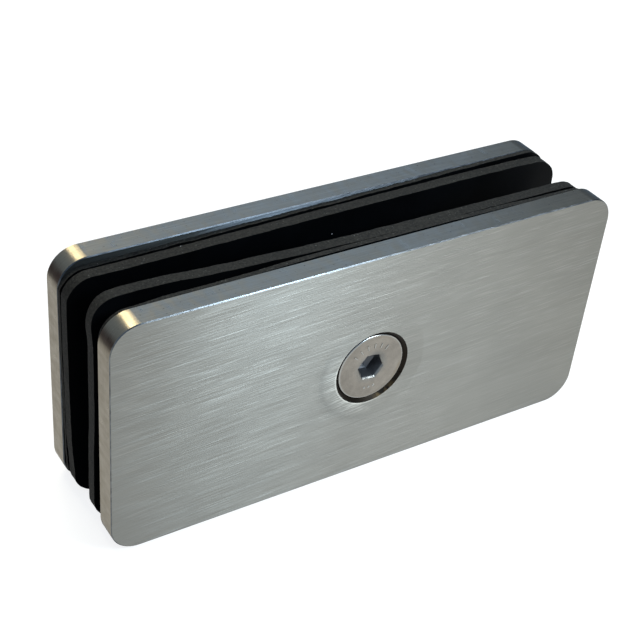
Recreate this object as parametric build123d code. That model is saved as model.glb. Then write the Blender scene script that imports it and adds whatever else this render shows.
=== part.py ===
from build123d import *
import os
from math import radians, tan

# Glass panel clamp that joins two panes edge to edge.
# Two rounded steel plates stand on their long edges, a front one and a rear one, with two rubber sheets on
# the inside of each. A countersunk socket screw goes through the front plate into a threaded boss that is
# seated in the rear plate. The panes go between the rubber sheets, one on each side of the boss.
# X runs along the plates, Y from the front plate to the rear one, Z up. The origin is on the screw's axis,
# halfway between the plates' outer faces. The panes are not fitted, so the sheets hang a little bowed.

os.makedirs("parts", exist_ok=True)

# Plates, in millimetres
plate_length = 90.0
plate_height = 42.0
plate_thickness = 4.0
plate_corner_radius = 4.8
plate_edge_break = 0.15
plate_spacing = 14.0

# Screw
thread_diameter = 6.0
screw_length = 16.0
screw_tip_chamfer = 0.6
head_diameter = 12.0
head_edge_break = 0.2
head_land = 0.3
head_recess = 0.4
countersink_angle = 90.0
socket_across_flats = 4.0
socket_depth = 2.5
socket_mouth_chamfer = 0.25
socket_point_angle = 120.0
socket_turn = -7.0

# Threaded boss
boss_wall = 3.0
boss_length = 8.5
boss_edge_break = 0.4
bore_lead = 0.5
spigot_wall = 1.5
rear_plate_skin = 1.5

# Rubber sheets
outer_gasket_thickness = 0.95
inner_gasket_thickness = 2.1
gasket_inset = 0.7
gasket_end_inset = 0.3
front_outer_rise = 1.2
front_outer_right_rise = 0.3
front_inner_left_lift = 1.1
rear_inner_left_lift = 0.7
rear_inner_right_lift = 1.1

# Ends of the flat stretch of each sheet, as shares of its half length
front_outer_flat_shares = (-0.16, 0.36)
front_inner_flat_shares = (-0.18, 1.0)
rear_inner_flat_shares = (-0.34, 0.45)

# Clearances
running_clearance = 0.05
hole_clearance = 0.3
spigot_clearance = 0.01
gasket_clearance = 1.0
lay_clearance = 0.02
cut_overrun = 1.0

# Places along Y that the pieces share
front_inner_y = -plate_spacing / 2
rear_inner_y = plate_spacing / 2
front_face_y = front_inner_y - plate_thickness
head_top_y = front_face_y + head_recess
boss_front_y = rear_inner_y - boss_length
spigot_end_y = rear_inner_y + plate_thickness - rear_plate_skin

# Radii that the pieces share
cone_slope = tan(radians(countersink_angle / 2))
thread_radius = thread_diameter / 2
head_radius = head_diameter / 2
bore_radius = thread_radius + running_clearance
boss_radius = bore_radius + boss_wall
spigot_radius = bore_radius + spigot_wall

# Outline that the rubber sheets share
gasket_length = plate_length - 2 * gasket_end_inset
gasket_height = plate_height - 2 * gasket_inset
gasket_corner_radius = plate_corner_radius - gasket_inset


def rounded_slab(length, height, corner_radius, low_y, thickness):
    """A rounded rectangle seen from the front, from low_y to low_y plus its thickness."""
    far_side = Plane.XZ.offset(-(low_y + thickness))
    return extrude(far_side * RectangleRounded(length, height, corner_radius), thickness)


def turned(points):
    """A solid turned about the screw's axis from points of radius and place along Y."""
    outline = Polyline(*points, close=True)
    return revolve(make_face(outline), axis=Axis.Y)


def hexagon(across_flats, y):
    """The outline of the key socket at one depth."""
    shape = RegularPolygon(across_flats / 2, side_count=6, major_radius=False, rotation=socket_turn)
    return Plane.XZ.offset(-y) * shape


def plate(low_y):
    """A flat plate with rounded corners and its sharp edges broken on both faces."""
    body = rounded_slab(plate_length, plate_height, plate_corner_radius, low_y, plate_thickness)
    faces = body.faces().sort_by(Axis.Y)
    edges = faces[0].outer_wire().edges() + faces[-1].outer_wire().edges()
    return chamfer(edges, plate_edge_break)


def front_plate():
    """The plate with the countersunk hole for the screw."""
    hole_radius = thread_radius + hole_clearance
    mouth_radius = head_radius + (head_recess + head_land) * cone_slope + running_clearance
    cone_depth = (mouth_radius - hole_radius) / cone_slope
    end_y = front_inner_y + cut_overrun
    hole = turned([
        (0, front_face_y),
        (mouth_radius, front_face_y),
        (hole_radius, front_face_y + cone_depth),
        (hole_radius, end_y),
        (0, end_y),
    ])
    return plate(front_face_y) - hole


def rear_plate():
    """The plate with the blind seat for the boss's spigot."""
    seat_radius = spigot_radius + spigot_clearance
    start_y = rear_inner_y - cut_overrun
    seat = turned([
        (0, start_y),
        (seat_radius, start_y),
        (seat_radius, spigot_end_y),
        (0, spigot_end_y),
    ])
    return plate(rear_inner_y) - seat


def threaded_boss():
    """The round nut that is pressed into the rear plate and keeps the panes apart."""
    return turned([
        (bore_radius + bore_lead, boss_front_y),
        (boss_radius - boss_edge_break, boss_front_y),
        (boss_radius, boss_front_y + boss_edge_break),
        (boss_radius, rear_inner_y),
        (spigot_radius, rear_inner_y),
        (spigot_radius, spigot_end_y),
        (bore_radius, spigot_end_y),
        (bore_radius, boss_front_y + bore_lead),
    ])


def key_socket():
    """The hexagonal recess in the screw's head, with its chamfered mouth and drilled point."""
    mouth = hexagon(socket_across_flats + 2 * socket_mouth_chamfer, head_top_y)
    throat = hexagon(socket_across_flats, head_top_y + socket_mouth_chamfer)
    point_radius = socket_across_flats / 2
    point_depth = point_radius / tan(radians(socket_point_angle / 2))
    floor_y = head_top_y + socket_depth
    point = turned([(0, floor_y), (point_radius, floor_y), (0, floor_y + point_depth)])
    shaft = extrude(hexagon(socket_across_flats, floor_y), socket_depth)
    return loft([mouth.face(), throat.face()], ruled=True) + shaft + point


def clamp_screw():
    """The countersunk screw; its fine thread is left plain here."""
    land_y = head_top_y + head_land
    neck_y = land_y + (head_radius - thread_radius) / cone_slope
    tip_y = head_top_y + screw_length
    blank = turned([
        (0, head_top_y),
        (head_radius - head_edge_break, head_top_y),
        (head_radius, head_top_y + head_edge_break),
        (head_radius, land_y),
        (thread_radius, neck_y),
        (thread_radius, tip_y - screw_tip_chamfer),
        (thread_radius - screw_tip_chamfer, tip_y),
        (0, tip_y),
    ])
    return blank - key_socket()


def gasket_blank(low_y, thickness):
    """A rounded sheet with the hole that lets the boss through."""
    hole_radius = boss_radius + gasket_clearance
    blank = rounded_slab(gasket_length, gasket_height, gasket_corner_radius, low_y, thickness)
    far_side = Plane.XZ.offset(-(low_y + thickness))
    return blank - extrude(far_side * Circle(hole_radius), thickness)


def bowed_line(y, flat_shares, left_rise, right_rise):
    """One side of a bowed sheet seen from above: a flat stretch with an end that curves off on each side."""
    end = gasket_length / 2
    left, right = flat_shares[0] * end, flat_shares[1] * end
    pieces = [Line((left, y), (right, y))]
    if left > -end:
        pieces.append(Bezier((left, y), ((left - end) / 2, y), (-end, y + left_rise)))
    if right < end:
        pieces.append(Bezier((right, y), ((right + end) / 2, y), (end, y + right_rise)))
    return pieces


def bowed_gasket(low_y, thickness, flat_shares, left_rise, right_rise):
    """A sheet cut from a bowed band, so that its outline and its hole stay true from the front."""
    end = gasket_length / 2
    high_y = low_y + thickness
    near_side = bowed_line(low_y, flat_shares, left_rise, right_rise)
    far_side = bowed_line(high_y, flat_shares, left_rise, right_rise)
    left_end = Line((-end, low_y + left_rise), (-end, high_y + left_rise))
    right_end = Line((end, low_y + right_rise), (end, high_y + right_rise))
    section = make_face(near_side + far_side + [left_end, right_end])
    band = extrude(section, gasket_height / 2, both=True)
    return band & gasket_blank(low_y - plate_spacing / 2, plate_spacing)


def front_outer_gasket():
    """The thin sheet on the front plate; its middle stands off the plate and its ends lie near it."""
    low_y = front_inner_y + lay_clearance + front_outer_rise
    right_rise = front_outer_right_rise - front_outer_rise
    return bowed_gasket(low_y, outer_gasket_thickness, front_outer_flat_shares, -front_outer_rise, right_rise)


def front_inner_gasket():
    """The thick sheet on the front side, which lifts off the thin one at its left end."""
    outer_low_y = front_inner_y + lay_clearance + front_outer_rise
    low_y = outer_low_y + outer_gasket_thickness + lay_clearance
    return bowed_gasket(low_y, inner_gasket_thickness, front_inner_flat_shares, front_inner_left_lift, 0)


def rear_outer_gasket():
    """The thin sheet that lies flat on the rear plate."""
    return gasket_blank(rear_inner_y - lay_clearance - outer_gasket_thickness, outer_gasket_thickness)


def rear_inner_gasket():
    """The thick sheet on the rear side, which lifts off the thin one at both ends."""
    high_y = rear_inner_y - 2 * lay_clearance - outer_gasket_thickness
    low_y = high_y - inner_gasket_thickness
    return bowed_gasket(
        low_y, inner_gasket_thickness, rear_inner_flat_shares, -rear_inner_left_lift, -rear_inner_right_lift
    )


PIECES = {
    "front_plate": front_plate,
    "rear_plate": rear_plate,
    "threaded_boss": threaded_boss,
    "clamp_screw": clamp_screw,
    "front_outer_gasket": front_outer_gasket,
    "front_inner_gasket": front_inner_gasket,
    "rear_inner_gasket": rear_inner_gasket,
    "rear_outer_gasket": rear_outer_gasket,
}

for name, make_piece in PIECES.items():
    export_step(make_piece(), f"parts/{name}.step")
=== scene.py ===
"""Looks of a glass panel clamp: brushed plates, cut rubber sheets and a countersunk socket screw.

Lengths in the dataclasses are millimetres, as a maker would write them, and MM turns them into metres.
Only the studio's lamps, cards and floor are in metres.
X runs along the plates, Y from the front plate to the rear one, Z up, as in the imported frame.
"""
import logging
import math
from dataclasses import dataclass, field
from enum import Enum
from functools import partial
from typing import Any, Callable

import bmesh
import bpy
from mathutils import Matrix, Vector, noise


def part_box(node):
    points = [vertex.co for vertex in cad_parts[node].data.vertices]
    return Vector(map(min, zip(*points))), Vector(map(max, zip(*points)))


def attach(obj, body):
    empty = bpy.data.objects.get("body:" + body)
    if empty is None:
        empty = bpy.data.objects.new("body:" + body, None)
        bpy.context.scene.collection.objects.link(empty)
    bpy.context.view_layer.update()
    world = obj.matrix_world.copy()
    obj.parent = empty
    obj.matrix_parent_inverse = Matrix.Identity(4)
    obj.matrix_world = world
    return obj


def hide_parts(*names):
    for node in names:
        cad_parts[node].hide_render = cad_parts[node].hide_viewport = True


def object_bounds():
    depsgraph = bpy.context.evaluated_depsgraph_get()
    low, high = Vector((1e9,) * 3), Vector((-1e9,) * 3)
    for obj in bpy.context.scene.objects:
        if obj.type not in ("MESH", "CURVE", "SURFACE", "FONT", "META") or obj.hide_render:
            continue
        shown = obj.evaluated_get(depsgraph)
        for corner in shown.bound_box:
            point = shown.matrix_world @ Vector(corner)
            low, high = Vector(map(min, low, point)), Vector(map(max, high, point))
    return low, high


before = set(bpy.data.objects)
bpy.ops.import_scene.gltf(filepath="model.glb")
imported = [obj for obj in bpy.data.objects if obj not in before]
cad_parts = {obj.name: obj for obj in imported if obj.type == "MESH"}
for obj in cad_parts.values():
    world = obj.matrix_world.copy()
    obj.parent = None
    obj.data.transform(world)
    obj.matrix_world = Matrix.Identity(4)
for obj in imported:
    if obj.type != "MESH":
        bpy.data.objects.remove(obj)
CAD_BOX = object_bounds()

LOG = logging.getLogger("clamp")
MM = 0.001
SHARP_ANGLE = math.radians(38)
WELD = 0.002 * MM
NOISE_MIDDLE = (0.3, 0.7)

Colour = tuple[float, float, float]
Span = tuple[float, float]
Paint = tuple[float, float, float, float]
Stations = tuple[Span, ...]
Socket = bpy.types.NodeSocket


def opaque(colour: Colour) -> Paint:
    """A colour with the full cover that shader sockets ask for."""
    return (*colour, 1.0)


def smooth_step(value: float) -> float:
    """An even rise from 0 to 1, held outside that span."""
    share = min(max(value, 0.0), 1.0)
    return share * share * (3 - 2 * share)


def along(stations: Stations, place: float) -> float:
    """Reads a height off a soft line through a few stations.

    Args:
        stations: pairs of place and height, in rising order of place.
        place: where the line is read.

    Returns:
        The height there, level past both ends.
    """
    if place <= stations[0][0]:
        return stations[0][1]
    for (low, start), (high, end) in zip(stations, stations[1:]):
        if place <= high:
            return start + (end - start) * smooth_step((place - low) / (high - low))
    return stations[-1][1]


@dataclass(frozen=True)
class Pattern:
    """A noise drawn out along the axes: its wave along X, Y and Z, its finer layers and its offset."""

    size: tuple[float, float, float]
    detail: float = 2.0
    offset: float = 0.0


class Board:
    """A material's node tree, with short calls that add and join its nodes."""

    def __init__(self, name: str) -> None:
        """Starts an empty tree with an output.

        Args:
            name: the material's name.
        """
        self.material = bpy.data.materials.new(name)
        self.material.use_nodes = True
        self.tree = self.material.node_tree
        self.tree.nodes.clear()
        self.output = self.tree.nodes.new("ShaderNodeOutputMaterial")
        self.places = self.tree.nodes.new("ShaderNodeTexCoord")

    def add(self, kind: str, inputs: dict[str | int, Any], **settings: Any) -> bpy.types.Node:
        """Adds a node.

        Args:
            kind: the node's type, without its ShaderNode prefix.
            inputs: values or output sockets, by the input's name or number.
            settings: the node's own properties.

        Returns:
            The new node.
        """
        node = self.tree.nodes.new("ShaderNode" + kind)
        for key, value in settings.items():
            setattr(node, key, value)
        for key, value in inputs.items():
            if isinstance(value, Socket):
                self.tree.links.new(value, node.inputs[key])
            else:
                node.inputs[key].default_value = value
        return node

    def maths(self, operation: str, first: Socket | float, second: Socket | float = 0.0) -> Socket:
        """Works one operation out on two values."""
        return self.add("Math", {0: first, 1: second}, operation=operation).outputs[0]

    def total(self, first: Socket | float, *others: Socket | float) -> Socket:
        """Adds several values up.

        Args:
            first: the first value.
            others: what is added to it.

        Returns:
            The sum.
        """
        for other in others:
            first = self.maths("ADD", first, other)
        return first

    def product(self, first: Socket | float, *others: Socket | float) -> Socket:
        """Multiplies several values.

        Args:
            first: the first value.
            others: what it is multiplied by.

        Returns:
            The product.
        """
        for other in others:
            first = self.maths("MULTIPLY", first, other)
        return first

    def ramp(self, value: Socket, span: Span, start: float = 0.0, end: float = 1.0) -> Socket:
        """Maps a value from one span to another, held at both ends.

        Args:
            value: the socket that is read.
            span: the values that give start and end.
            start: the result at the span's start.
            end: the result at the span's end.

        Returns:
            The mapped value.
        """
        inputs = {0: value, 1: span[0], 2: span[1], 3: start, 4: end}
        return self.add("MapRange", inputs, clamp=True).outputs[0]

    def reach(self, length: Socket, span: Span, start: float = 0.0, end: float = 1.0) -> Socket:
        """Maps a length as ramp does, with its span in millimetres."""
        return self.ramp(length, (span[0] * MM, span[1] * MM), start, end)

    def spread(self, grain: Socket, start: float, end: float) -> Socket:
        """Maps a noise as ramp does, from the middle values that it mostly has."""
        return self.ramp(grain, NOISE_MIDDLE, start, end)

    def noise(self, pattern: Pattern, lean: float = 0.0) -> Socket:
        """Lays a pattern over the piece.

        Args:
            pattern: the noise's sizes.
            lean: how far its X rises towards Z, in degrees.

        Returns:
            The noise, from 0 to 1.
        """
        mapping = self.add("Mapping", {
            "Vector": self.places.outputs["Object"],
            "Scale": [length * MM for length in pattern.size],
            "Location": [-pattern.offset * length * MM for length in pattern.size],
            "Rotation": (0.0, -math.radians(lean), 0.0),
        }, vector_type="TEXTURE")
        inputs = {"Vector": mapping.outputs[0], "Scale": 1.0, "Detail": pattern.detail}
        return self.add("TexNoise", inputs).outputs[0]

    def place(self, axis: int) -> Socket:
        """The place along X, Y or Z, by the axis's number."""
        return self.add("SeparateXYZ", {0: self.places.outputs["Object"]}).outputs[axis]

    def facing(self) -> Socket:
        """How far the surface faces along Y, from -1 to 1."""
        return self.add("SeparateXYZ", {0: self.places.outputs["Normal"]}).outputs[1]

    def flatness(self) -> Socket:
        """How far the surface faces along Y, either way."""
        return self.maths("ABSOLUTE", self.facing())

    def from_axis(self) -> Socket:
        """The distance from the screw's axis."""
        x, z = self.place(0), self.place(2)
        return self.maths("SQRT", self.total(self.product(x, x), self.product(z, z)))

    def tint(self, colour: Colour | Socket, level: Socket) -> Socket:
        """A colour made lighter or darker by a level."""
        return self.add("VectorMath", {0: colour, "Scale": level}, operation="SCALE").outputs[0]

    def mix(self, share: Socket, first: Socket | Paint, second: Socket | Paint) -> Socket:
        """Mixes two colours by a share."""
        return self.add("Mix", {0: share, 6: first, 7: second}, data_type="RGBA").outputs[2]

    def blend(self, share: Socket, first: Socket | float, second: Socket | float) -> Socket:
        """Mixes two values by a share."""
        return self.add("Mix", {0: share, 2: first, 3: second}, data_type="FLOAT").outputs[0]

    def bump(
        self, height: Socket, strength: Socket | float, depth: float, under: Socket | None = None
    ) -> Socket:
        """Turns a height into a normal.

        Args:
            height: the socket with the height, from 0 to 1.
            strength: how much of it is felt.
            depth: the height's full depth in millimetres.
            under: the normal that it is laid over.

        Returns:
            The bumped normal.
        """
        inputs = {"Height": height, "Strength": strength, "Distance": depth * MM}
        if under is not None:
            inputs["Normal"] = under
        return self.add("Bump", inputs).outputs[0]

    def finish(self, surface: bpy.types.Node) -> bpy.types.Material:
        """Puts a shader on the output and gives the material back."""
        self.tree.links.new(surface.outputs[0], self.output.inputs["Surface"])
        return self.material


class Towards(Enum):
    """Which way a face looks along Y."""

    REAR = 1.0
    FRONT = -1.0


@dataclass(frozen=True)
class HoleHalo:
    """The ring round the screw's hole: a little dished, with a painted highlight crescent on one side,
    painted shade just outside it and a painted highlight at the hole's lip.
    """

    hole_radius: float = 6.75
    width: float = 3.2
    depth: float = 0.16
    fall: float = 1.15
    side: tuple[float, float] = (-0.8, -0.6)
    side_span: Span = (0.1, 0.75)
    crescent_reach: Span = (7.4, 9.4)
    lines: Pattern = Pattern((3.0, 3.0, 0.27), 2.0, 12.4)
    line_lean: float = 7.5
    line_span: Span = (0.46, 0.66)
    line_gain: Span = (0.04, 0.7)
    shade_width: float = 1.6
    shade_gain: float = 0.12
    lip_span: Span = (0.16, 0.3)
    lip_gain: float = 0.6

    def gain(self, board: Board, radius: Socket) -> Socket:
        """Paints a highlight crescent on one side of the hole, with painted shade just outside it and a
        painted highlight at the lip.

        Args:
            board: the steel's board.
            radius: the distance from the screw's axis.

        Returns:
            What is added to the steel's level.
        """
        sideways = board.total(board.product(board.place(0), self.side[0]),
                               board.product(board.place(2), self.side[1]))
        share = board.ramp(board.maths("DIVIDE", sideways, radius), self.side_span)
        end = self.crescent_reach[1]
        near = board.reach(radius, self.crescent_reach, 1.0, 0.0)
        shade = board.product(board.reach(radius, self.crescent_reach),
                              board.reach(radius, (end, end + self.shade_width), 1.0, 0.0))
        lines = board.ramp(board.noise(self.lines, self.line_lean), self.line_span, *self.line_gain)
        lip_span = (self.hole_radius + self.lip_span[0], self.hole_radius + self.lip_span[1])
        lip = board.reach(radius, lip_span, self.lip_gain, 0.0)
        gain = board.maths("SUBTRACT", board.product(near, lines), board.product(shade, self.shade_gain))
        return board.product(share, board.total(gain, lip))

    def dish(self, board: Board, radius: Socket, face: Socket, under: Socket) -> Socket:
        """Rounds the face off towards the hole.

        Args:
            board: the steel's board.
            radius: the distance from the screw's axis.
            face: 1 on the plate's faces, 0 on its edges.
            under: the normal that it is laid over.

        Returns:
            The dished normal.
        """
        near = board.reach(radius, (self.hole_radius, self.hole_radius + self.width))
        rise = board.maths("POWER", board.maths("SUBTRACT", 1.0, near), self.fall)
        return board.bump(board.product(rise, face), 1.0, self.depth, under)


@dataclass(frozen=True)
class PlateMap:
    """Where a plate's steel is, and the patterns that run over it, as sockets."""

    face: Socket
    in_hole: Socket
    radius: Socket
    wear_and_glint: Socket
    fine: Socket
    rare: Socket
    cloud: Socket
    edge_line: Socket
    ripple: Socket


@dataclass(frozen=True)
class PlateSteel:
    """Satin steel, brushed along the plates' length, with edges linished round the outline, and painted
    light in its colours: glints, shade and reflections.
    """

    name: str
    rubbered: Towards
    # arris_painted_colour is painted light: its blue tint and its level, darker on the rear plate, set how
    # the arris's highlight shows.
    arris_painted_colour: Colour
    halo: HoleHalo | None = None
    colour: Colour = (0.239, 0.233, 0.209)
    # edge_painted_colour is a painted reflection tint: the edges' darker, warmer colour stands in for the
    # beige surroundings that the sides mirror.
    edge_painted_colour: Colour = (0.187, 0.164, 0.125)
    # hole_shade_colour is painted shade: the dark of the countersink's walls.
    hole_shade_colour: Colour = (0.022, 0.018, 0.014)
    # hole_reflection_colour is a painted reflection: a brown patch low on the hole's right.
    hole_reflection_colour: Colour = (0.085, 0.058, 0.03)
    # inner_shade_colour is painted shade on the inner face, which lies against the rubber.
    inner_shade_colour: Colour = (0.03, 0.032, 0.031)
    # inner_reflection_colour is a painted pale blue reflection across the inner face's middle.
    inner_reflection_colour: Colour = (0.16, 0.19, 0.22)
    brush_lean: float = 2.5
    fine: Pattern = Pattern((11.0, 11.0, 0.19), 3.0)
    broad: Pattern = Pattern((26.0, 26.0, 0.7), 2.0, 3.1)
    rare: Pattern = Pattern((10.0, 10.0, 0.25), 1.0, 7.7)
    groove: Pattern = Pattern((10.0, 10.0, 0.2), 2.0, 4.6)
    scratch: Pattern = Pattern((9.0, 9.0, 0.24), 1.0, 6.3)
    # glint is a painted highlight: short streaks lightened in the colour.
    glint: Pattern = Pattern((7.0, 7.0, 0.13), 1.0, 15.5)
    cloud: Pattern = Pattern((12.0, 12.0, 7.0), 2.0, 1.7)
    wear_and_glint_patch: Pattern = Pattern((16.0, 16.0, 9.0), 1.0, 21.3)
    edge_line: Pattern = Pattern((7.0, 0.16, 7.0), 3.0, 5.2)
    ripple: Pattern = Pattern((1.1, 2.4, 1.1), 3.0, 2.6)
    pits: Pattern = Pattern((0.4, 0.4, 0.5), 2.0, 9.3)
    rare_span: Span = (0.64, 0.7)
    scratch_span: Span = (0.56, 0.72)
    glint_span: Span = (0.57, 0.72)
    pit_span: Span = (0.32, 0.26)
    fine_level: Span = (0.93, 1.065)
    broad_level: float = 0.025
    cloud_level: float = 0.035
    rare_level: Span = (0.08, 0.17)
    glint_level: Span = (0.16, 0.28)
    edge_level: Span = (0.86, 1.12)
    pit_level: float = 0.55
    nick_level: Span = (0.55, 1.35)
    wear_and_glint_heights: Span = (-13.0, 5.0)
    wear_and_glint_drift: float = 5.0
    face_from: Span = (0.8, 0.95)
    arris_from: Span = (0.4, 0.55)
    arris_to: Span = (0.8, 0.9)
    hole_from: Span = (7.35, 7.25)
    hole_reflection_x: Span = (0.8, 2.2)
    hole_reflection_z: Span = (-4.0, -5.0)
    hole_reflection_span: Span = (0.4, 0.6)
    inner_from: Span = (0.5, 0.8)
    inner_reflection_from: Span = (-24.0, -10.0)
    inner_reflection_to: Span = (14.0, 22.0)
    inner_reflection_drift: float = 2.0
    face_roughness: Span = (0.33, 0.44)
    rare_roughness: float = 0.08
    edge_roughness: Span = (0.27, 0.41)
    hole_roughness: float = 0.55
    face_anisotropy: float = 0.95
    edge_anisotropy: float = 0.68
    stray_angle: float = 0.02
    groove_height: float = 0.7
    scratch_height: float = 0.8
    edge_line_height: float = 0.5
    bump_strength: Span = (0.45, 0.85)
    bump_depth: float = 0.025

    def _map(self, board: Board) -> PlateMap:
        """Lays out the plate's regions and patterns.

        Args:
            board: the steel's board.

        Returns:
            The sockets that the colour, the roughness and the bump read.
        """
        radius = board.from_axis()
        # wear_and_glint rises towards the top of the plate: it places the painted glints and the stronger
        # brushing relief.
        drift = board.spread(board.noise(self.wear_and_glint_patch), -self.wear_and_glint_drift * MM, self.wear_and_glint_drift * MM)
        return PlateMap(
            face=board.ramp(board.flatness(), self.face_from),
            in_hole=board.reach(radius, self.hole_from),
            radius=radius,
            wear_and_glint=board.reach(board.total(board.place(2), drift), self.wear_and_glint_heights),
            fine=board.noise(self.fine, self.brush_lean),
            rare=board.ramp(board.noise(self.rare, self.brush_lean), self.rare_span),
            cloud=board.noise(self.cloud),
            edge_line=board.noise(self.edge_line),
            ripple=board.noise(self.ripple),
        )

    def _face_tone(self, board: Board, plate: PlateMap) -> Socket:
        """The brushed faces' colour, with painted glints, and painted shade and a painted reflection on the
        inner face.

        Args:
            board: the steel's board.
            plate: the plate's regions and patterns.

        Returns:
            The colour.
        """
        # Painted highlights: glint and rare streaks lightened in the colour, more towards the top.
        glint = board.ramp(board.noise(self.glint, self.brush_lean), self.glint_span)
        level = board.total(
            board.spread(plate.fine, *self.fine_level),
            board.spread(board.noise(self.broad, self.brush_lean), -self.broad_level, self.broad_level),
            board.spread(plate.cloud, -self.cloud_level, self.cloud_level),
            board.product(plate.rare, board.ramp(plate.wear_and_glint, (0.0, 1.0), *self.rare_level)),
            board.product(glint, board.ramp(plate.wear_and_glint, (0.0, 1.0), *self.glint_level)),
        )
        # The halo adds its painted highlight crescent and painted shade.
        if self.halo:
            level = board.total(level, self.halo.gain(board, plate.radius))
        # The inner face gets painted shade, with a painted reflection across its middle.
        inside = board.ramp(board.product(board.facing(), self.rubbered.value), self.inner_from)
        drift = board.spread(plate.cloud, -self.inner_reflection_drift * MM, self.inner_reflection_drift * MM)
        place = board.total(board.place(0), drift)
        inner_reflection = board.product(board.reach(place, self.inner_reflection_from),
                              board.reach(place, self.inner_reflection_to, 1.0, 0.0))
        inner_shade_and_reflection = board.mix(inner_reflection, opaque(self.inner_shade_colour), opaque(self.inner_reflection_colour))
        return board.mix(inside, board.tint(self.colour, level), inner_shade_and_reflection)

    def _edge_tone(self, board: Board, plate: PlateMap) -> Socket:
        """The colour of the edges, their arrises and the screw's hole, with painted tints on the edges and
        arrises, painted shade in the hole and a painted reflection at its lower right.

        Args:
            board: the steel's board.
            plate: the plate's regions and patterns.

        Returns:
            The colour.
        """
        pits = board.product(board.ramp(board.noise(self.pits), self.pit_span), self.pit_level)
        level = board.maths("SUBTRACT", board.spread(plate.edge_line, *self.edge_level), pits)
        flatness = board.flatness()
        arris = board.product(board.ramp(flatness, self.arris_from),
                              board.ramp(flatness, self.arris_to, 1.0, 0.0))
        # The arris colour is painted light; the ripple adds nicks.
        painted_arris_with_nicks = board.tint(self.arris_painted_colour, board.spread(plate.ripple, *self.nick_level))
        # The edges' colour is a painted reflection tint, with pits.
        edge = board.mix(arris, board.tint(self.edge_painted_colour, level), painted_arris_with_nicks)
        # Painted reflection: a brown patch on the countersink's lower right.
        hole_reflection = board.product(
            board.reach(board.place(0), self.hole_reflection_x),
            board.reach(board.place(2), self.hole_reflection_z),
            board.ramp(plate.ripple, self.hole_reflection_span),
        )
        # The countersink's dark colour is painted shade.
        hole = board.mix(hole_reflection, board.tint(self.hole_shade_colour, level), opaque(self.hole_reflection_colour))
        return board.mix(plate.in_hole, edge, hole)

    def _roughness(self, board: Board, plate: PlateMap) -> Socket:
        """The faces' and edges' roughness.

        Args:
            board: the steel's board.
            plate: the plate's regions and patterns.

        Returns:
            The roughness.
        """
        face = board.total(board.spread(plate.fine, *self.face_roughness),
                           board.product(plate.rare, self.rare_roughness))
        edge = board.spread(plate.ripple, *self.edge_roughness)
        return board.blend(plate.face, board.blend(plate.in_hole, edge, self.hole_roughness), face)

    def _normal(self, board: Board, plate: PlateMap) -> Socket:
        """The brushing's grooves, the edges' ripples and the dish round the hole.

        Args:
            board: the steel's board.
            plate: the plate's regions and patterns.

        Returns:
            The bumped normal.
        """
        groove = board.noise(self.groove, self.brush_lean)
        scratch = board.ramp(board.noise(self.scratch, self.brush_lean), self.scratch_span)
        face = board.total(plate.fine, board.product(groove, self.groove_height),
                           board.product(scratch, self.scratch_height))
        edge = board.total(board.product(plate.edge_line, self.edge_line_height), plate.ripple)
        strength = board.ramp(plate.wear_and_glint, (0.0, 1.0), *self.bump_strength)
        normal = board.bump(board.blend(plate.face, edge, face), strength, self.bump_depth)
        if self.halo:
            normal = self.halo.dish(board, plate.radius, plate.face, normal)
        return normal

    def material(self) -> bpy.types.Material:
        """Builds the node material.

        Returns:
            The finished material.
        """
        board = Board(self.name)
        plate = self._map(board)
        stray = board.product(board.spread(plate.fine, -self.stray_angle, self.stray_angle), plate.face)
        edge = board.maths("SUBTRACT", 1.0, plate.face)
        across = board.add("CombineXYZ", {0: stray, 1: edge, 2: plate.face})
        tone = board.mix(plate.face, self._edge_tone(board, plate), self._face_tone(board, plate))
        shader = board.add("BsdfPrincipled", {
            "Base Color": tone,
            "Metallic": 1.0,
            "Roughness": self._roughness(board, plate),
            "Anisotropic": board.ramp(plate.face, (0.0, 1.0), self.edge_anisotropy, self.face_anisotropy),
            "Tangent": across.outputs[0],
            "Normal": self._normal(board, plate),
        })
        return board.finish(shader)


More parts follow.
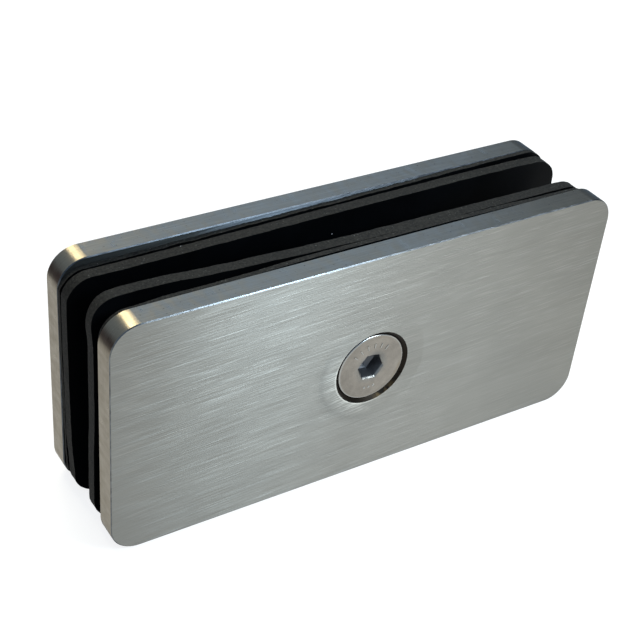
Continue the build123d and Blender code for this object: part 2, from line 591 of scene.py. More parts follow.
@dataclass(frozen=True)
class ScrewSteel:
    """Plain cold-headed stainless, a little warm, with faint rings and stains, and painted shade inside its
    socket.
    """

    name: str = "screw_plain_steel"
    colour: Colour = (0.278, 0.254, 0.221)
    ring_colour: Colour = (0.2, 0.2, 0.19)
    rim_colour: Colour = (0.34, 0.335, 0.315)
    # socket_shade_colour is painted shade: the dark inside the socket.
    socket_shade_colour: Colour = (0.155, 0.158, 0.165)
    stain_colour: Colour = (0.2, 0.15, 0.08)
    top_y: float = -10.7
    mottle: Pattern = Pattern((0.9, 0.9, 0.9), 4.0, 4.4)
    cloud: Pattern = Pattern((3.5, 3.5, 3.5), 2.0, 0.7)
    grain: Pattern = Pattern((0.14, 0.14, 0.14), 2.0, 6.0)
    lathe_pitch: float = 0.22
    ring_wobble: float = 0.35
    ring_radii: Span = (2.3, 3.3)
    ring_share: float = 0.75
    rim_radii: Span = (5.74, 5.88)
    raised_from: Span = (-0.02, -0.04)
    socket_from: Span = (0.2, 0.45)
    socket_radii: Span = (2.6, 2.5)
    stain_radii: Span = (5.2, 6.0)
    stain_span: Span = (0.52, 0.68)
    stain_share: float = 0.7
    mottle_level: Span = (0.9, 1.05)
    lathe_level: float = 0.04
    cloud_level: Span = (-0.14, 0.1)
    roughness: Span = (0.27, 0.39)
    worn_gloss: float = 0.7
    socket_roughness: float = 0.16
    grain_height: float = 0.5
    bump_strength: float = 0.4
    bump_depth: float = 0.02

    def _below_top(self, board: Board, span: Span) -> Socket:
        """Maps the depth under the head's face."""
        return board.reach(board.place(1), (self.top_y + span[0], self.top_y + span[1]))

    def _level(self, board: Board, radius: Socket, mottle: Socket, cloud: Socket) -> Socket:
        """How light the steel is, with its mottle and its faint lathe rings.

        Args:
            board: the steel's board.
            radius: the distance from the screw's axis.
            mottle: the fine patches.
            cloud: the broad patches.

        Returns:
            The level.
        """
        lathe = board.add("TexNoise", {
            "Vector": board.add("CombineXYZ", {0: radius}).outputs[0],
            "Scale": 1 / (self.lathe_pitch * MM), "Detail": 1.0,
        }).outputs[0]
        return board.total(
            board.spread(mottle, *self.mottle_level),
            board.spread(lathe, -self.lathe_level, self.lathe_level),
            board.spread(cloud, *self.cloud_level),
        )

    def material(self) -> bpy.types.Material:
        """Builds the node material.

        Returns:
            The finished material.
        """
        board = Board(self.name)
        radius = board.from_axis()
        mottle, cloud, grain = (board.noise(pattern) for pattern in (self.mottle, self.cloud, self.grain))
        wobble = board.total(radius, board.spread(cloud, -self.ring_wobble * MM, self.ring_wobble * MM))
        ring_share = board.reach(wobble, self.ring_radii, self.ring_share, 0.0)
        stain = board.product(board.reach(radius, self.stain_radii), board.ramp(cloud, self.stain_span),
                              self.stain_share)
        raised = self._below_top(board, self.raised_from)
        # wear_and_glint on the screw: the worn rim and raised marks, lighter and glossier.
        wear_and_glint = board.maths("MAXIMUM", board.reach(radius, self.rim_radii), raised)
        sunk = self._below_top(board, self.socket_from)
        inside = board.product(sunk, board.reach(radius, self.socket_radii))
        tone = board.mix(ring_share, opaque(self.colour), opaque(self.ring_colour))
        tone = board.tint(tone, self._level(board, radius, mottle, cloud))
        tone = board.mix(stain, tone, opaque(self.stain_colour))
        tone = board.mix(wear_and_glint, tone, opaque(self.rim_colour))
        # Painted shade inside the socket.
        tone = board.mix(inside, tone, opaque(self.socket_shade_colour))
        rough = board.product(board.spread(grain, *self.roughness),
                              board.ramp(wear_and_glint, (0.0, 1.0), 1.0, self.worn_gloss))
        height = board.total(board.product(grain, self.grain_height), mottle)
        shader = board.add("BsdfPrincipled", {
            "Base Color": tone, "Metallic": 1.0,
            "Roughness": board.total(rough, board.product(inside, self.socket_roughness)),
            "Normal": board.bump(height, self.bump_strength, self.bump_depth),
        })
        return board.finish(shader)


@dataclass(frozen=True)
class TurnedSteel:
    """Lathe-turned steel with fine rings round the screw's axis."""

    name: str = "boss_turned_steel"
    colour: Colour = (0.4, 0.4, 0.39)
    rings: Pattern = Pattern((40.0, 0.12, 40.0))
    cloud: Pattern = Pattern((4.0, 2.0, 4.0), 3.0, 2.0)
    ring_level: Span = (0.92, 1.05)
    cloud_level: float = 0.06
    roughness: Span = (0.22, 0.35)
    bump_strength: float = 0.5
    bump_depth: float = 0.01

    def material(self) -> bpy.types.Material:
        """Builds the node material.

        Returns:
            The finished material.
        """
        board = Board(self.name)
        rings, cloud = board.noise(self.rings), board.noise(self.cloud)
        level = board.total(board.spread(rings, *self.ring_level),
                            board.spread(cloud, -self.cloud_level, self.cloud_level))
        shader = board.add("BsdfPrincipled", {
            "Base Color": board.tint(self.colour, level), "Metallic": 1.0,
            "Roughness": board.spread(cloud, *self.roughness),
            "Normal": board.bump(rings, self.bump_strength, self.bump_depth),
        })
        return board.finish(shader)


@dataclass(frozen=True)
class CutRubber:
    """Black rubber sheet: smooth dark faces, a warmer grey grain where it was cut, and a little dust."""

    name: str = "sheet_rubber"
    face_colour: Colour = (0.0008, 0.001, 0.0013)
    cut_colour: Colour = (0.0085, 0.0077, 0.0062)
    speck_colour: Colour = (0.1, 0.1, 0.09)
    dust_colour: Colour = (0.45, 0.45, 0.44)
    grain: Pattern = Pattern((0.36, 0.36, 0.36), 4.0, 1.3)
    cloud: Pattern = Pattern((7.0, 7.0, 7.0), 3.0, 8.0)
    specks: Pattern = Pattern((0.3, 0.3, 0.3), 1.0, 3.9)
    dust_pitch: float = 2.6
    face_from: Span = (0.55, 0.85)
    grain_span: Span = (0.34, 0.66)
    grain_level: Span = (0.25, 1.85)
    cut_cloud_level: float = 0.15
    face_cloud_level: Span = (0.6, 1.4)
    speck_span: Span = (0.68, 0.78)
    speck_share: float = 0.6
    speck_height: float = 0.5
    dust_span: Span = (0.045, 0.03)
    dust_chosen: Span = (0.93, 0.94)
    face_roughness: float = 0.42
    cut_roughness: float = 0.85
    face_specular: float = 0.045
    cut_specular: float = 0.23
    face_relief: float = 0.1
    bump_strength: float = 0.7
    bump_depth: float = 0.05

    def _dust(self, board: Board) -> Socket:
        """Finds where a few grains of dust lie.

        Args:
            board: the rubber's board.

        Returns:
            1 on the dust, 0 beside it.
        """
        dots = board.add("TexVoronoi", {
            "Vector": board.places.outputs["Object"], "Scale": 1 / (self.dust_pitch * MM), "Randomness": 1.0,
        })
        chosen = board.add("SeparateColor", {0: dots.outputs["Color"]}).outputs[0]
        return board.product(board.ramp(dots.outputs["Distance"], self.dust_span),
                             board.ramp(chosen, self.dust_chosen))

    def material(self) -> bpy.types.Material:
        """Builds the node material.

        Returns:
            The finished material.
        """
        board = Board(self.name)
        face = board.ramp(board.flatness(), self.face_from)
        grain, cloud = board.noise(self.grain), board.noise(self.cloud)
        specks = board.ramp(board.noise(self.specks), self.speck_span)
        level = board.total(board.ramp(grain, self.grain_span, *self.grain_level),
                            board.spread(cloud, -self.cut_cloud_level, self.cut_cloud_level))
        cut_tone = board.mix(board.product(specks, self.speck_share), board.tint(self.cut_colour, level),
                             opaque(self.speck_colour))
        face_tone = board.tint(self.face_colour, board.spread(cloud, *self.face_cloud_level))
        tone = board.mix(self._dust(board), board.mix(face, cut_tone, face_tone), opaque(self.dust_colour))
        height = board.product(board.total(grain, board.product(specks, self.speck_height)),
                               board.ramp(face, (0.0, 1.0), 1.0, self.face_relief))
        shader = board.add("BsdfPrincipled", {
            "Base Color": tone,
            "Roughness": board.blend(face, self.cut_roughness, self.face_roughness),
            "Specular IOR Level": board.ramp(face, (0.0, 1.0), self.cut_specular, self.face_specular),
            "Normal": board.bump(height, self.bump_strength, self.bump_depth),
        })
        return board.finish(shader)


def mark_sharp(shape: bmesh.types.BMesh) -> None:
    """Smooths every face and leaves the edges of a clear turn sharp.

    Args:
        shape: the bmesh whose faces and edges are marked.
    """
    for face in shape.faces:
        face.smooth = True
    for edge in shape.edges:
        edge.smooth = edge.calc_face_angle(math.pi) < SHARP_ANGLE


def to_object(shape: bmesh.types.BMesh, name: str, material: bpy.types.Material) -> bpy.types.Object:
    """Closes a bmesh off into a finished object at the origin.

    Args:
        shape: the bmesh, in metres, which is freed.
        name: the object's name.
        material: its one material.

    Returns:
        The new object, linked into the scene.
    """
    bmesh.ops.remove_doubles(shape, verts=shape.verts[:], dist=WELD)
    bmesh.ops.recalc_face_normals(shape, faces=shape.faces[:])
    mark_sharp(shape)
    mesh = bpy.data.meshes.new(name)
    shape.to_mesh(mesh)
    shape.free()
    mesh.materials.append(material)
    piece = bpy.data.objects.new(name, mesh)
    bpy.context.scene.collection.objects.link(piece)
    return piece


def ring(
    shape: bmesh.types.BMesh, segments: int, y: float, radius: float | Callable[[float], float]
) -> list[bmesh.types.BMEdge]:
    """Adds a closed loop round the screw's axis.

    Args:
        shape: the bmesh that takes it.
        segments: how many points it has.
        y: its place along the axis, in millimetres.
        radius: the radius in millimetres, or a function that gives it at an angle.

    Returns:
        The loop's edges.
    """
    upright = Matrix.Rotation(math.pi / 2, 4, "X")
    made = bmesh.ops.create_circle(shape, segments=segments, radius=MM, matrix=upright)["verts"]
    for vert in made:
        angle = math.atan2(vert.co.z, vert.co.x)
        length = radius(angle) if callable(radius) else radius
        vert.co = Vector((math.cos(angle) * length, y, math.sin(angle) * length)) * MM
    return list({edge for vert in made for edge in vert.link_edges})


@dataclass(frozen=True)
class BowRow:
    """How far a sheet stands off its flat place along one level line: pairs of X and lift."""

    level: float
    lifts: Stations


@dataclass
class RubberSheet:
    """One rubber sheet with a hole for the boss, hung a little bowed between the plates."""

    node: str
    body: str
    plate_side_y: float
    outward: Towards
    thickness: float
    material: bpy.types.Material
    bow: tuple[BowRow, ...] = (BowRow(0.0, ((0.0, 0.0),)),)
    turn: float = 0.0
    shift: tuple[float, float] = (0.0, 0.0)
    length: float = 89.3
    height: float = 40.6
    corner_radius: float = 4.1
    hole_radius: float = 7.05
    slope_step: float = 0.2
    inside_box: float = 0.03
    corner_points: int = 24
    length_points: int = 230
    height_points: int = 88
    rings: int = 15
    wall_rows: int = 3
    ragged: float = 0.09
    ragged_waves: Stations = ((0.35, 0.6), (1.9, 0.35), (4.5, 0.3))
    ragged_depth: float = 1.5
    rim_width: float = 0.05
    seed: float = 0.0

    def _blank(self) -> bmesh.types.BMesh:
        """Makes the flat sheet, rounded at its corners, with its hole and its rings of faces.

        Returns:
            The sheet's bmesh, not yet thick.
        """
        shape = bmesh.new()
        length, height = self.length * MM, self.height * MM
        upright = Matrix.Rotation(math.pi / 2, 4, "X") @ Matrix.Diagonal((length, height, 1, 1))
        bmesh.ops.create_grid(shape, x_segments=1, y_segments=1, size=0.5, matrix=upright)
        bmesh.ops.bevel(
            shape, geom=shape.verts[:], offset=self.corner_radius * MM, affect="VERTICES",
            segments=self.corner_points, profile=0.5, material=-1,
        )
        bmesh.ops.delete(shape, geom=shape.faces[:], context="FACES_ONLY")
        longest = [e for e in shape.edges if e.calc_length() > length / 2]
        upright_sides = [e for e in shape.edges if e not in longest and e.calc_length() > height / 2]
        bmesh.ops.subdivide_edges(shape, edges=longest, cuts=self.length_points)
        bmesh.ops.subdivide_edges(shape, edges=upright_sides, cuts=self.height_points)
        outline = list(shape.edges)
        hole = ring(shape, len(outline), 0.0, self.hole_radius)
        bmesh.ops.bridge_loops(shape, edges=outline + hole)
        rims = set(outline) | set(hole)
        spokes = [e for e in shape.edges if e not in rims]
        bmesh.ops.subdivide_edges(shape, edges=spokes, cuts=self.rings, use_grid_fill=True)
        return shape

    def _thicken(self, shape: bmesh.types.BMesh) -> None:
        """Gives the sheet its thickness, with a few rows across its cut walls.

        Args:
            shape: the flat sheet.
        """
        grown = bmesh.ops.extrude_face_region(shape, geom=shape.faces[:], use_keep_orig=True)["geom"]
        moved = [item for item in grown if isinstance(item, bmesh.types.BMVert)]
        bmesh.ops.translate(shape, verts=moved, vec=(0, self.thickness * MM, 0))
        walls = [e for e in shape.edges if abs(e.verts[0].co.y - e.verts[1].co.y) > self.thickness * MM / 2]
        bmesh.ops.subdivide_edges(shape, edges=walls, cuts=self.wall_rows)

    def _outward_of(self, x: float, z: float) -> tuple[float, float, float]:
        """Finds where a point lies in the sheet's outline.

        Args:
            x: its place along the sheet.
            z: its height.

        Returns:
            How far it lies inside the outline, and the X and Z of the way that the outline faces there.
        """
        core_x = self.length / 2 - self.corner_radius
        core_z = self.height / 2 - self.corner_radius
        gap_x = x - min(max(x, -core_x), core_x)
        gap_z = z - min(max(z, -core_z), core_z)
        reach = math.hypot(gap_x, gap_z)
        if reach < self.corner_radius / 2:
            return self.corner_radius, 0.0, 0.0
        return self.corner_radius - reach, gap_x / reach, gap_z / reach

    def _lift(self, x: float, z: float) -> float:
        """Reads how far the sheet stands off its flat place.

        Args:
            x: the place along the sheet.
            z: the height.

        Returns:
            The lift in millimetres.
        """
        if z >= self.bow[0].level:
            return along(self.bow[0].lifts, x)
        for upper, lower in zip(self.bow, self.bow[1:]):
            if z >= lower.level:
                share = smooth_step((z - lower.level) / (upper.level - lower.level))
                return along(lower.lifts, x) * (1 - share) + along(upper.lifts, x) * share
        return along(self.bow[-1].lifts, x)

    def _slant(self, x: float, z: float) -> Vector:
        """Finds the way that the sheet's thickness points, once it is bowed.

        Args:
            x: the place along the sheet.
            z: the height.

        Returns:
            A direction of length 1.
        """
        step = self.slope_step
        slope_x = (self._lift(x + step, z) - self._lift(x - step, z)) / (2 * step)
        slope_z = (self._lift(x, z + step) - self._lift(x, z - step)) / (2 * step)
        return Vector((-slope_x, self.outward.value, -slope_z)).normalized()

    def _shape_point(self, co: Vector) -> Vector:
        """Roughens, turns and bows one point of the flat sheet.

        Args:
            co: the point on the flat sheet, in metres.

        Returns:
            Its place on the hung sheet, in metres.
        """
        x, depth, z = co / MM
        inside, face_x, face_z = self._outward_of(x, z)
        if inside < self.rim_width:
            spot = Vector((x + self.seed, depth * self.ragged_depth, z))
            wave = sum(noise.noise(spot * scale) * share for scale, share in self.ragged_waves)
            x += face_x * wave * self.ragged
            z += face_z * wave * self.ragged
        turned = Matrix.Rotation(math.radians(self.turn), 2) @ Vector((x, z))
        x, z = turned.x + self.shift[0], turned.y + self.shift[1]
        y = self.plate_side_y + self.outward.value * self._lift(x, z)
        place = Vector((x, y, z)) + self._slant(x, z) * depth
        for axis in (0, 2):
            reach = CAD_BOX[1][axis] / MM - self.inside_box
            place[axis] = min(max(place[axis], -reach), reach)
        return place * MM

    def build(self) -> bpy.types.Object:
        """Builds the sheet in its place.

        Returns:
            The finished piece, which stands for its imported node.
        """
        shape = self._blank()
        self._thicken(shape)
        for vert in shape.verts:
            vert.co = self._shape_point(vert.co)
        piece = to_object(shape, self.node + "_cut", self.material)
        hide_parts(self.node)
        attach(piece, self.body)
        return piece


@dataclass
class ClampScrew:
    """The countersunk socket screw, with its thread, chamfered socket and plain raised ticks."""

    material: bpy.types.Material
    node: str = "clamp_screw"
    segments: int = 96
    proud: float = 0.1
    edge_break: float = 0.26
    rim_turns: tuple[float, ...] = (16.0, 31.0, 46.0, 61.0, 76.0, 90.0)
    land: float = 0.3
    shank_radius: float = 3.0
    core_radius: float = 1.0
    tip_chamfer: float = 0.6
    thread_pitch: float = 1.0
    thread_depth: float = 0.6
    thread_rows: int = 124
    groove_half_width: float = 0.42
    groove_steepness: float = 1.15
    thread_end: float = 0.2
    snap: float = 0.01
    across_flats: float = 4.0
    socket_turn: float = -7.0
    socket_depth: float = 2.5
    point_depth: float = 1.1
    point_share: float = 0.95
    socket_step: float = 0.05
    throat_share: float = 1.012
    mouth_chamfer: float = 0.27
    mouth_radius: float = 2.36
    mouth_lip: Span = (-0.02, 0.03)
    dish: float = 0.01
    tick_radius: float = 4.05
    tick_angles: tuple[float, ...] = (50.0, 68.0, 86.0, 104.0, 122.0, 140.0)
    tick_size: tuple[float, float, float] = (0.95, 0.16, 0.26)
    tick_rounding: float = 0.078
    dot_angles: tuple[float, ...] = (258.0, 270.0, 282.0)
    dot_size: tuple[float, float, float] = (0.26, 0.08, 0.26)
    top_y: float = field(init=False)
    tip_y: float = field(init=False)
    head_radius: float = field(init=False)

    def __post_init__(self) -> None:
        """Reads the head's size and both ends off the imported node, the head a little proud of it."""
        low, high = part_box(self.node)
        self.top_y = low.y / MM - self.proud
        self.tip_y = high.y / MM
        self.head_radius = high.x / MM + self.proud

    def _hexagon(self, angle: float, share: float = 1.0) -> float:
        """Measures the socket's outline.

        Args:
            angle: the angle round the axis.
            share: how large the outline is beside the socket's own.

        Returns:
            The distance from the axis.
        """
        sector = math.pi / 3
        local = (angle - math.radians(self.socket_turn)) % sector - sector / 2
        return self.across_flats / 2 / math.cos(local) * share

    def _mouth(self, angle: float, past: float = 0.0) -> float:
        """Measures the chamfered mouth's outline, a little rounded between the corners.

        Args:
            angle: the angle round the axis.
            past: what is added to the outline.

        Returns:
            The distance from the axis.
        """
        chamfered = self._hexagon(angle, 1 + 2 * self.mouth_chamfer / self.across_flats)
        return max(chamfered, self.mouth_radius) + past

    def _thread(self, shape: bmesh.types.BMesh, neck_y: float, end_y: float) -> None:
        """Cuts the helical thread into the shank's rows of points.

        Args:
            shape: the screw's bmesh.
            neck_y: where the thread starts under the head.
            end_y: where it ends at the tip.
        """
        for vert in shape.verts:
            y = vert.co.y / MM
            radius = math.hypot(vert.co.x, vert.co.z) / MM
            off_shank = abs(radius - self.shank_radius) > self.snap
            if off_shank or y < neck_y - self.snap or y > end_y + self.snap:
                continue
            turn = math.atan2(-vert.co.z, vert.co.x) / math.tau
            phase = (y / self.thread_pitch - turn) % 1.0
            groove = max(0.0, 1 - abs(phase - 0.5) / self.groove_half_width)
            fade = smooth_step((y - neck_y) / self.thread_pitch) * smooth_step((end_y - y) / self.thread_end)
            cut = min(groove * self.groove_steepness, 1.0) * fade * self.thread_depth
            vert.co.x *= 1 - cut / self.shank_radius
            vert.co.z *= 1 - cut / self.shank_radius

    def _rim(self, shape: bmesh.types.BMesh, turn: float) -> list[bmesh.types.BMEdge]:
        """Adds one loop of the head's rounded rim.

        Args:
            shape: the screw's bmesh.
            turn: how far the rim has turned from the head's face, in degrees.

        Returns:
            The loop's edges.
        """
        lean = math.radians(turn)
        reach = self.head_radius - self.edge_break * (1 - math.sin(lean))
        return ring(shape, self.segments, self.top_y + self.edge_break * (1 - math.cos(lean)), reach)

    def _body(self, shape: bmesh.types.BMesh) -> None:
        """Lofts the socket, the head, the shank and the tip as one closed skin.

        Args:
            shape: the empty bmesh that takes it.
        """
        add = partial(ring, shape, self.segments)
        neck_y = self.top_y + self.land + self.head_radius - self.shank_radius
        end_y = self.tip_y - self.tip_chamfer
        floor_y = self.top_y + self.socket_depth
        throat_y = self.top_y + self.mouth_chamfer
        loops = [
            add(floor_y + self.point_depth, self.core_radius),
            add(floor_y + self.socket_step, partial(self._hexagon, share=self.point_share)),
            add(floor_y, self._hexagon),
            add(throat_y + self.socket_step, self._hexagon),
            add(throat_y, partial(self._hexagon, share=self.throat_share)),
            add(self.top_y + 3 * self.dish, partial(self._mouth, past=self.mouth_lip[0])),
            add(self.top_y + self.dish, partial(self._mouth, past=self.mouth_lip[1])),
            add(self.top_y, self.head_radius - self.edge_break),
            *(self._rim(shape, turn) for turn in self.rim_turns),
            add(self.top_y + self.land, self.head_radius),
            add(neck_y, self.shank_radius),
            add(end_y, self.shank_radius),
            add(self.tip_y, self.shank_radius - self.tip_chamfer),
            add(self.tip_y - self.dish, self.core_radius),
        ]
        shank_end = loops[-3]
        for inner, outer in zip(loops, loops[1:]):
            made = bmesh.ops.bridge_loops(shape, edges=inner + outer)
            if outer is shank_end:
                rows = [e for e in made["edges"] if abs(e.verts[0].co.y - e.verts[1].co.y) > MM]
                bmesh.ops.subdivide_edges(shape, edges=rows, cuts=self.thread_rows)
        for rim, y in ((loops[0], floor_y + self.point_depth), (loops[-1], self.tip_y)):
            verts = list({vert for edge in rim for vert in edge.verts})
            bmesh.ops.pointmerge(shape, verts=verts, merge_co=Vector((0, y, 0)) * MM)
        self._thread(shape, neck_y, end_y)

    def _mark_place(self, degrees: float, size: tuple[float, float, float]) -> Matrix:
        """Finds the place of one mark on the head's face.

        Args:
            degrees: its angle round the axis.
            size: its size outwards, along the axis and round the axis.

        Returns:
            The matrix that turns a unit shape into the mark.
        """
        turn = Matrix.Rotation(-math.radians(degrees), 4, "Y")
        out = Matrix.Translation(Vector((self.tick_radius, self.top_y, 0)) * MM)
        return turn @ out @ Matrix.Diagonal((*(Vector(size) * MM), 1))

    def _marks(self, shape: bmesh.types.BMesh) -> None:
        """Raises a few plain ticks over the socket and dots under it.

        Args:
            shape: the screw's bmesh.
        """
        for degrees in self.tick_angles:
            place = self._mark_place(degrees, self.tick_size)
            made = bmesh.ops.create_cube(shape, size=1.0, matrix=place)["verts"]
            bmesh.ops.bevel(
                shape, geom=list({e for v in made for e in v.link_edges}), offset=self.tick_rounding * MM,
                affect="EDGES", segments=2, profile=0.5, material=-1,
            )
        for degrees in self.dot_angles:
            place = self._mark_place(degrees, self.dot_size)
            bmesh.ops.create_icosphere(shape, subdivisions=2, radius=1.0, matrix=place)

    def build(self) -> bpy.types.Object:
        """Builds the screw in its place.

        Returns:
            The finished piece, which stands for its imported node.
        """
        shape = bmesh.new()
        self._body(shape)
        self._marks(shape)
        piece = to_object(shape, "socket_screw", self.material)
        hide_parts(self.node)
        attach(piece, "screw")
        return piece


@dataclass
class Plates:
    """Both steel plates and the boss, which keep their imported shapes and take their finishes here."""

    # The arris colours are painted light: the rear plate's is darker, so that its arris shows less
    # highlight.
    front: PlateSteel = PlateSteel(
        "front_plate_steel", Towards.REAR, arris_painted_colour=(0.122, 0.13, 0.136), halo=HoleHalo()
    )
    rear: PlateSteel = PlateSteel("rear_plate_steel", Towards.FRONT, arris_painted_colour=(0.062, 0.07, 0.08))
    boss: TurnedSteel = TurnedSteel()

    def dress(self) -> list[bpy.types.Object]:
        """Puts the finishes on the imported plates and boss.

        Returns:
            The dressed nodes.
        """
        finishes = {"front_plate": self.front, "rear_plate": self.rear, "threaded_boss": self.boss}
        for name, finish in finishes.items():
            material = finish.material()
            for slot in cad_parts[name].material_slots:
                slot.material = material
        return [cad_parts[name] for name in finishes]


def aim(azimuth: float, elevation: float) -> Vector:
    """The direction from the clamp at an azimuth from +Y towards +X and an elevation, in degrees."""
    turn, rise = math.radians(azimuth), math.radians(elevation)
    return Vector((math.sin(turn) * math.cos(rise), math.cos(turn) * math.cos(rise), math.sin(rise)))


@dataclass(frozen=True)
class SoftLamp:
    """A rectangular soft light that looks at the clamp from a direction."""

    name: str
    azimuth: float
    elevation: float
    distance: float
    width: float
    height: float
    radiance: float
    colour: Colour

    def build(self) -> bpy.types.Object:
        """Builds the lamp.

        Returns:
            The lamp's object.
        """
        data = bpy.data.lights.new(self.name, "AREA")
        data.shape = "RECTANGLE"
        data.size = self.width
        data.size_y = self.height
        data.energy = self.radiance * math.pi * self.width * self.height
        data.color = self.colour
        lamp = bpy.data.objects.new(self.name, data)
        way = aim(self.azimuth, self.elevation)
        lamp.location = way * self.distance
        lamp.rotation_euler = way.to_track_quat("Z", "Y").to_euler()
        lamp.visible_camera = False
        bpy.context.scene.collection.objects.link(lamp)
        return lamp


@dataclass(frozen=True)
class GlowCard:
    """An evenly lit card round the clamp that only the metal's reflections see."""

    name: str
    azimuth: float
    elevation: float
    distance: float
    width: float
    height: float
    colour: Colour

    def build(self) -> bpy.types.Object:
        """Builds the card, facing the clamp.

        Returns:
            The card's object.
        """
        board = Board(self.name)
        glow = board.add("Emission", {"Color": opaque(self.colour), "Strength": 1.0})
        shape = bmesh.new()
        way = aim(self.azimuth, self.elevation)
        facing = way.to_track_quat("Z", "Y").to_matrix().to_4x4()
        size = Matrix.Diagonal((self.width, self.height, 1, 1))
        place = Matrix.Translation(way * self.distance) @ facing @ size
        bmesh.ops.create_grid(shape, x_segments=1, y_segments=1, size=0.5, matrix=place)
        card = to_object(shape, self.name, board.finish(glow))
        for kind in ("camera", "diffuse", "transmission", "shadow", "volume_scatter"):
            setattr(card, "visible_" + kind, False)
        return card


@dataclass
class Studio:
    """The floor, the surroundings, the lamps and the camera."""

    camera_place: tuple[float, float, float] = (-104.024, -142.840, 127.843)
    azimuth: float = 34.020
    elevation: float = 36.488
    roll: float = -5.312
    lens: float = 75.105
    sensor: float = 36.0
    near_clip: float = 10.0
    shift: tuple[float, float] = (0.0383, 0.0320)
    floor_size: float = 6.0
    floor_colour: Colour = (0.25, 0.25, 0.25)
    floor_glow: float = 0.82
    floor_seen: Colour = (1.0, 1.0, 1.0)
    floor_cast: Colour = (1.0, 0.985, 0.94)
    contact_fade: float = 0.4
    sky: Stations = ((0.0, 0.54), (0.3, 0.52), (0.6, 0.58), (1.0, 0.7))
    sky_tint: Colour = (0.8, 1.0, 1.24)
    dim_from: float = 0.42
    dim_to: float = 0.8
    dim_share: float = 0.4
    cards: tuple[GlowCard, ...] = (
        GlowCard("dim_card", -54.0, 1.0, 0.13, 0.14, 0.07, (0.1, 0.075, 0.09)),
        GlowCard("dim_side", 56.0, 2.0, 0.13, 0.12, 0.08, (0.17, 0.24, 0.35)),
        GlowCard("sky_card", 31.0, 40.0, 0.6, 0.28, 0.34, (0.85, 1.22, 1.84)),
    )
    lamps: tuple[SoftLamp, ...] = (
        SoftLamp("warm_window", -1.0, 48.0, 0.7, 0.25, 0.2, 19.0, (1.0, 0.9, 0.63)),
        SoftLamp("front_softbox", 145.0, 32.0, 0.9, 0.11, 0.5, 19.4, (0.85, 0.935, 1.0)),
        SoftLamp("near_glow", 163.0, 45.0, 0.11, 0.03, 0.03, 30.0, (0.67, 0.84, 1.0)),
    )

    def _camera(self) -> None:
        """Sets the camera where the photograph was taken from."""
        turn, lean = math.radians(self.azimuth), math.radians(self.roll)
        forward = aim(self.azimuth, -self.elevation)
        level = Vector((math.cos(turn), -math.sin(turn), 0))
        upward = level.cross(forward) * math.cos(lean) + level * math.sin(lean)
        aside = forward.cross(upward)
        data = bpy.data.cameras.new("camera")
        data.lens = self.lens
        data.sensor_width = self.sensor
        data.shift_x, data.shift_y = self.shift
        data.clip_start = self.near_clip * MM
        camera = bpy.data.objects.new("camera", data)
        turned = Matrix((aside, upward, -forward)).transposed().to_4x4()
        camera.matrix_world = Matrix.Translation(Vector(self.camera_place) * MM) @ turned
        bpy.context.scene.collection.objects.link(camera)
        bpy.context.scene.camera = camera

    def _within(self, board: Board, axis: int) -> Socket:
        """Finds the floor under the clamp, along one axis.

        Args:
            board: the floor's board.
            axis: the axis's number.

        Returns:
            1 under the clamp, fading to 0 past its box.
        """
        reach = CAD_BOX[1][axis]
        distance = board.maths("ABSOLUTE", board.place(axis))
        return board.ramp(distance, (reach, reach + self.contact_fade * MM), 1.0, 0.0)

    def _floor(self) -> bpy.types.Object:
        """Lays a pale floor that shows white and keeps the clamp's shadow.

        Returns:
            The floor.
        """
        board = Board("floor_paper")
        rays = board.add("LightPath", {}).outputs
        # Painted shadow: under the clamp, the glow that reflections see is taken away.
        under = board.product(self._within(board, 0), self._within(board, 1))
        mirrored = board.product(board.total(rays["Is Glossy Ray"], rays["Is Transmission Ray"]),
                                 board.maths("SUBTRACT", 1.0, under))
        seen = board.maths("MINIMUM", board.total(mirrored, rays["Is Camera Ray"]), 1.0)
        paper = board.add("BsdfDiffuse", {"Color": opaque(self.floor_colour)})
        light = board.mix(rays["Is Camera Ray"], opaque(self.floor_cast), opaque(self.floor_seen))
        glow = board.add("Emission", {"Color": light, "Strength": board.product(seen, self.floor_glow)})
        both = board.add("AddShader", {0: paper.outputs[0], 1: glow.outputs[0]})
        shape = bmesh.new()
        place = Matrix.Translation((0, 0, CAD_BOX[0][2]))
        bmesh.ops.create_grid(shape, x_segments=1, y_segments=1, size=self.floor_size / 2, matrix=place)
        floor = to_object(shape, "floor", board.finish(both))
        return floor

    def _sky(self) -> None:
        """Surrounds the clamp with an even pale room, lighter overhead and dimmer to one side."""
        world = bpy.data.worlds.new("room")
        bpy.context.scene.world = world
        world.use_nodes = True
        tree = world.node_tree
        tree.nodes.clear()
        places = tree.nodes.new("ShaderNodeTexCoord")
        cut = tree.nodes.new("ShaderNodeSeparateXYZ")
        ramp = tree.nodes.new("ShaderNodeValToRGB")
        dim = tree.nodes.new("ShaderNodeMapRange")
        back = tree.nodes.new("ShaderNodeBackground")
        output = tree.nodes.new("ShaderNodeOutputWorld")
        for place, _ in self.sky[1:-1]:
            ramp.color_ramp.elements.new(place)
        for element, (place, level) in zip(ramp.color_ramp.elements, self.sky):
            element.position = place
            element.color = opaque(tuple(level * part for part in self.sky_tint))
        for number, value in enumerate((self.dim_from, self.dim_to, 1.0, self.dim_share), start=1):
            dim.inputs[number].default_value = value
        tree.links.new(places.outputs["Generated"], cut.inputs[0])
        tree.links.new(cut.outputs[2], ramp.inputs[0])
        tree.links.new(ramp.outputs[0], back.inputs[0])
        tree.links.new(cut.outputs[0], dim.inputs[0])
        tree.links.new(dim.outputs[0], back.inputs[1])
        tree.links.new(back.outputs[0], output.inputs[0])

    def build(self) -> list[bpy.types.Object]:
        """Builds the whole studio.

        Returns:
            The floor, the cards and the lamps.
        """
        bpy.context.scene.view_settings.view_transform = "Standard"
        self._camera()
        floor = self._floor()
        self._sky()
        return [floor, *(piece.build() for piece in (*self.cards, *self.lamps))]


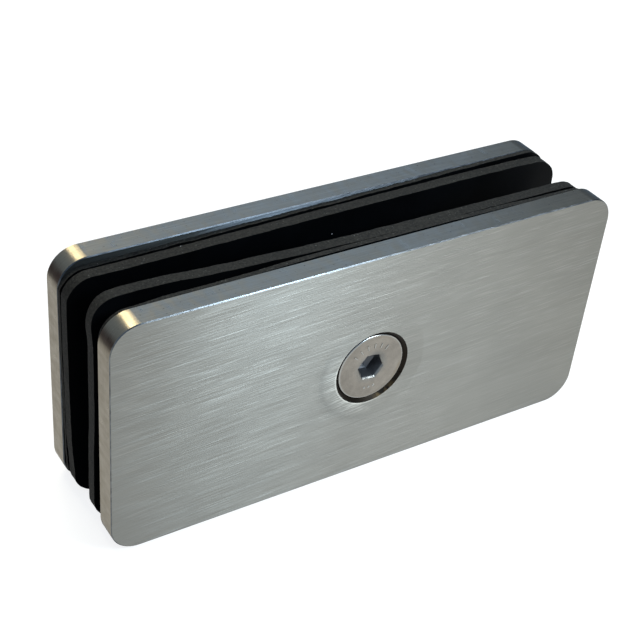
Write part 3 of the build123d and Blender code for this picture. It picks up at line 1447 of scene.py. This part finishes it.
def sheets(rubber: bpy.types.Material) -> list[RubberSheet]:
    """Lists the four rubber sheets, from the front plate to the rear one.

    Args:
        rubber: the material that they share.

    Returns:
        The sheets, not yet built.
    """
    outer_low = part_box("front_outer_gasket")[0].y / MM
    inner_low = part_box("front_inner_gasket")[0].y / MM
    inner_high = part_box("rear_inner_gasket")[1].y / MM
    outer_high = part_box("rear_outer_gasket")[1].y / MM
    return [
        RubberSheet(
            "front_outer_gasket", "front", outer_low, Towards.REAR, 0.95, rubber, seed=11.0, length=88.8,
            bow=(
                BowRow(0.0, ((-44, 0.0), (-42, 0.05), (-40, 0.2), (-33, 0.6), (-25, 0.6), (-8, 1.15),
                             (14, 1.15), (25, 0.9), (33, 0.55), (44, 0.3))),
            ),
        ),
        RubberSheet(
            "front_inner_gasket", "front", inner_low, Towards.REAR, 2.0, rubber, seed=23.0,
            turn=-0.3, shift=(-0.2, 0.0), length=88.9,
            bow=(
                BowRow(20.3, ((-42, 1.6), (-38, 1.85), (-33, 1.75), (-25, 1.1), (-20, 0.8), (-7, 0.25),
                              (0, 0.05), (5, 0.0), (38, 0.0), (44, 0.0))),
                BowRow(13.0, ((-44.6, 0.1), (-33, 0.6), (-20, 0.3), (0, 0.0))),
                BowRow(0.0, ((-44.6, 0.1), (-33, 0.2), (-20, 0.1), (0, 0.0))),
                BowRow(-7.0, ((-44.6, 0.5), (-33, 0.3), (0, 0.0))),
            ),
        ),
        RubberSheet(
            "rear_inner_gasket", "rear", inner_high, Towards.FRONT, 2.0, rubber, seed=37.0,
            turn=0.5, shift=(-0.1, 0.0), length=89.6,
            bow=(
                BowRow(20.3, ((-43, 0.5), (-36, 0.6), (-29, 0.6), (-20, 0.55), (-2, 0.45), (6, 0.4),
                              (26, 0.4), (35, 0.55), (44, 0.95))),
                BowRow(13.0, ((-45, 0.2), (26, 0.2), (44, 0.9))),
                BowRow(-9.0, ((-45, 0.15), (-30, 0.1), (26, 0.2), (44, 1.0))),
                BowRow(-18.0, ((-45, 1.0), (-30, 0.4), (0, 0.2), (26, 0.2), (44, 1.2))),
            ),
        ),
        RubberSheet(
            "rear_outer_gasket", "rear", outer_high, Towards.FRONT, 0.85, rubber, seed=53.0,
            turn=0.9, shift=(-0.1, 0.1), length=89.6, ragged=0.2,
        ),
    ]


def main() -> None:
    """Builds and dresses the clamp and its studio, and reports each piece."""
    logging.basicConfig(level=logging.INFO, format="%(name)s %(message)s")
    pieces = [*Studio().build(), *Plates().dress()]
    rubber = CutRubber().material()
    pieces += [sheet.build() for sheet in sheets(rubber)]
    pieces.append(ClampScrew(ScrewSteel().material()).build())
    for piece in pieces:
        size = ", ".join(f"{length / MM:.1f}" for length in piece.dimensions)
        LOG.info("%s is in place, %s mm", piece.name, size)


if __name__ == "__main__":
    main()
